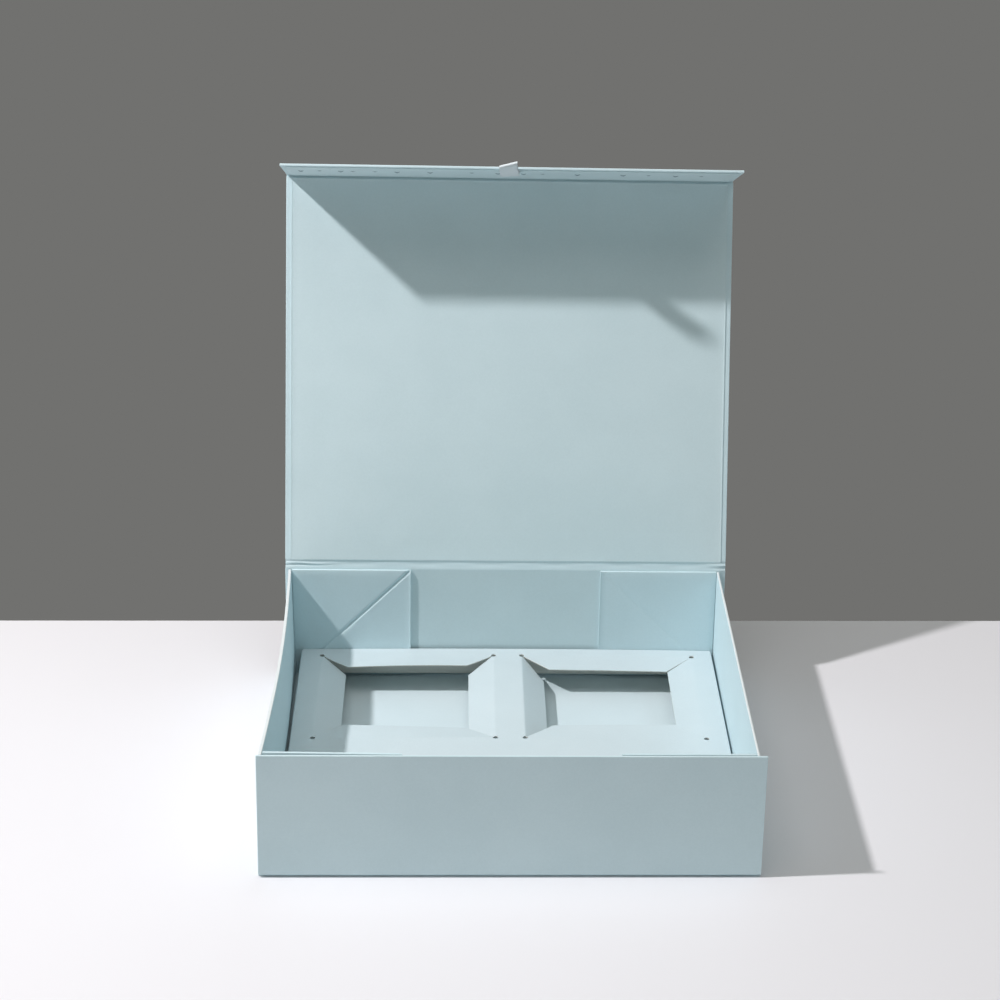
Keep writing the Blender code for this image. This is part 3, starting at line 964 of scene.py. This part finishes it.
for edge_name, turn in (("back", 0), ("left", 90), ("front", 180), ("right", 270)):
    sideways = edge_name in ("left", "right")
    reach = half_size.x if sideways else half_size.y
    run = (half_size.y if sideways else half_size.x) - fold_radius
    reach -= side_trims.get(edge_name, 0.0)
    foot, lean = skirt_foot, 0.0
    if edge_name == "back":
        reach += back_reach
        foot += back_foot_gap
        lean = back_foot_lean
    skirt = swept(skirt_section(reach, top_high.z, foot, lean), -run, run, card_cell)
    skirt.normal_update()
    face_by_normal(skirt, Vector((0, 1, 1)).normalized())
    turned = Matrix.Rotation(radians(turn), 4, "Z")
    moved = Matrix.Translation((platform_centre.x, platform_centre.y, 0)) @ turned
    bmesh.ops.transform(skirt, matrix=moved, verts=skirt.verts)
    if not sideways:
        for vertex in skirt.verts:
            vertex.co.x = min(rim_high.x, max(rim_low.x, vertex.co.x))
    crown(skirt)
    node = f"platform_{edge_name}_skirt"
    piece = finish_piece(f"{edge_name}_skirt", skirt, card_finishes, [node], 35.0)
    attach(piece, "platform")


# Window flaps: mitred tongues of the same card, creased along the window's edges and left
# as they spring back, each with its own droop and twist (degrees), arch and length.
side_mitre, end_mitre = 0.0200, 0.0186
crease_half = 0.0008
least_bend = 1e-5
flap_cell_along, flap_cell_across = 0.003, 0.008
flap_turns = {"front": 0, "right": 90, "back": 180, "left": 270}
flap_shapes = {
    "left": {
        "left": (15.5, -0.4, 0.0, 0.0176),
        "right": (16.3, -0.9, 0.0, 0.0178),
        "front": (6.0, 5.0, 0.0003, 0.0184),
        "back": (-0.4, 2.6, 0.0014, 0.0180),
    },
    "right": {
        "left": (31.9, -0.9, 0.0, 0.0175),
        "right": (4.4, 1.7, 0.0, 0.0181),
        "front": (1.9, -2.8, 0.0003, 0.0184),
        "back": (5.2, -1.9, 0.0002, 0.0185),
    },
}


def flap_outline(half, length, mitre):
    """The flap from just inside the sheet, round the relief holes, to its free edge."""
    start = -asin(crease_margin / relief_radius)
    slant = atan2(length, mitre)
    right = []
    for step in range(arc_steps + 1):
        angle = start + (slant - start) * step / arc_steps
        right.append((half - relief_radius * cos(angle), relief_radius * sin(angle)))
    right.append((half - mitre, length))
    return right + [(-x, y) for x, y in right[::-1]]


def bend_at_crease(point, angle):
    """Moves a point of the flat card as its crease turns the flap down by an angle."""
    if abs(angle) < least_bend or point.y <= -crease_half:
        return point
    radius = 2 * crease_half / angle
    turned = angle * min(1.0, (point.y + crease_half) / (2 * crease_half))
    beyond = max(0.0, point.y - crease_half)
    y = -crease_half + radius * sin(turned) + beyond * cos(turned) + point.z * sin(turned)
    z = -radius * (1 - cos(turned)) - beyond * sin(turned) + point.z * cos(turned)
    return Vector((point.x, y, z))


for side_name, (window_low, window_high) in window_boxes.items():
    for edge_name, turn in flap_turns.items():
        node = f"{side_name}_window_flap_{edge_name}"
        droop, twist, arch, length = flap_shapes[side_name][edge_name]
        window_size = window_high - window_low
        at_end = edge_name in ("front", "back")
        half = (window_size.x if at_end else window_size.y) / 2
        outline = flap_outline(half, length, end_mitre if at_end else side_mitre)
        flap = bmesh.new()
        flap.faces.new([flap.verts.new((x, y, 0)) for x, y in outline])
        if flap.faces[:][0].normal.z < 0:
            flap.faces[:][0].normal_flip()
        for step in range(-3, 4):
            cut_once(flap, Vector((0, crease_half * step / 3, 0)), Vector((0, 1, 0)))
        low, high = Vector((-half, crease_half, 0)), Vector((half, length, 0))
        cut_cells(flap, low, high, 1, flap_cell_along)
        cut_cells(flap, low, high, 0, flap_cell_across)
        under = bmesh.ops.extrude_face_region(flap, geom=flap.faces[:])["geom"]
        lowered = [part for part in under if isinstance(part, bmesh.types.BMVert)]
        bmesh.ops.translate(flap, vec=(0, 0, -card), verts=lowered)
        bmesh.ops.recalc_face_normals(flap, faces=flap.faces)
        flap.normal_update()
        face_by_normal(flap, Vector((0, 0, 1)))
        bmesh.ops.translate(flap, vec=(0, 0, card / 2), verts=flap.verts)
        for vertex in flap.verts:
            share = vertex.co.x / half
            rise = arch * (1 - share**2) * max(0.0, vertex.co.y / length) ** 2
            vertex.co = bend_at_crease(vertex.co, radians(droop + twist * share))
            vertex.co.z += rise
        crease = Vector(joints[f"{node}_crease"]["pos_m"])
        placed = Matrix.Translation(crease) @ Matrix.Rotation(radians(turn), 4, "Z")
        bmesh.ops.transform(flap, matrix=placed, verts=flap.verts)
        crown(flap)
        piece = finish_piece(f"{node}_card", flap, card_finishes, [node], 35.0)
        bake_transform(piece)


# Ribbon pull: a narrow woven ribbon folded into a loop. Both ends are glued under the
# lining through a slit. The loop sags a little below the open flap, and stands out past its
# edge, where it curls up, twists and leans to one side.
ribbon_dark, ribbon_light = (0.64, 0.73, 0.77), (0.76, 0.82, 0.85)
ribbon_sheet = 0.0003
ribbon_trim = 0.0004
loop_radius = 0.0011
outer_sag, inner_sag = 0.0024, 0.0008
ribbon_curl, ribbon_drift, drift_start = 0.0026, 0.0022, 0.6
ribbon_twist = radians(14.5)
layer_steps, turn_steps, ribbon_cells_across = 26, 8, 8
ribbon_low, ribbon_high = local_box("ribbon_pull", flap_place)
ribbon_width = ribbon_high.x - ribbon_low.x - 2 * ribbon_trim
ribbon_centre = (ribbon_low.x + ribbon_high.x) / 2
ribbon_face = flap_high.y + lining_sheet + ribbon_sheet
loop_run = slit_line - ribbon_low.z

ribbon_weave, ribbon_shader, ribbon_place = new_finish("ribbon_weave", 0.6, 0.3)
woven = ribbon_place.node("ShaderNodeUVMap", {"uv_map": "weave"}, {})
waves = {"wave_type": "BANDS", "bands_direction": "Y", "wave_profile": "SIN"}
ribs = woven.node("ShaderNodeTexWave", waves, {"Vector": woven, "Scale": 330.0}, 1)
yarn = woven.noise(2500.0, 2.0)
ribbon_tone = (ribs * 0.6 + yarn * 0.4).tint(ribbon_dark, ribbon_light)
join(ribbon_tone, ribbon_shader, "Base Color")
rib_relief = {"Height": ribs * 0.8 + yarn * 0.2, "Strength": 0.6, "Distance": 0.00008}
join(ribs.node("ShaderNodeBump", {}, rib_relief), ribbon_shader, "Normal")


def ribbon_layer(sag, lift):
    """A layer's middle line (out, away from the flap), from its slit to the loop's end."""
    line = []
    for step in range(layer_steps + 1):
        share = step / layer_steps
        line.append(Vector((loop_run * share, lift * share + sag * sin(pi * share**0.75))))
    return line


near_layer, far_layer = ribbon_layer(inner_sag, 0.0), ribbon_layer(outer_sag, 2 * loop_radius)
loop_turn = []
for step in range(1, turn_steps):
    angle = pi * step / turn_steps - pi / 2
    loop_centre = Vector((loop_run, loop_radius))
    loop_turn.append(loop_centre + Vector((cos(angle), sin(angle))) * loop_radius)
ribbon_line = near_layer + loop_turn + far_layer[::-1]
runs = [0.0]
for first, second in zip(ribbon_line, ribbon_line[1:]):
    runs.append(runs[-1] + (second - first).length)

ribbon = bmesh.new()
weave_layer = ribbon.loops.layers.uv.new("weave")
bmesh.ops.create_grid(
    ribbon, x_segments=ribbon_cells_across, y_segments=len(ribbon_line) - 1, size=0.5
)
for vertex in ribbon.verts:
    row = round((vertex.co.y + 0.5) * (len(ribbon_line) - 1))
    vertex.co = Vector((vertex.co.x * ribbon_width, runs[row], row))
for face in ribbon.faces:
    for loop in face.loops:
        loop[weave_layer].uv = loop.vert.co.xy
for vertex in ribbon.verts:
    out, away = ribbon_line[round(vertex.co.z)]
    turn = ribbon_twist * smooth_step(out / loop_run)
    beyond = out - drift_start * ribbon_slit
    drift = ribbon_drift * smooth_step(beyond / (loop_run - drift_start * ribbon_slit))
    sideways = ribbon_centre + vertex.co.x * cos(turn) - drift
    away -= ribbon_curl * smooth_step((out - ribbon_slit) / (loop_run - ribbon_slit))
    vertex.co = Vector((sideways, ribbon_face + away - vertex.co.x * sin(turn), slit_line - out))
bmesh.ops.recalc_face_normals(ribbon, faces=ribbon.faces)
bmesh.ops.solidify(ribbon, geom=ribbon.faces[:], thickness=ribbon_sheet)
bmesh.ops.recalc_face_normals(ribbon, faces=ribbon.faces)
bmesh.ops.transform(ribbon, matrix=flap_place, verts=ribbon.verts)
ribbon_piece = finish_piece("ribbon_loop", ribbon, [ribbon_weave], ["ribbon_pull"], 40.0)
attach(ribbon_piece, "closing_flap")
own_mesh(ribbon_piece)
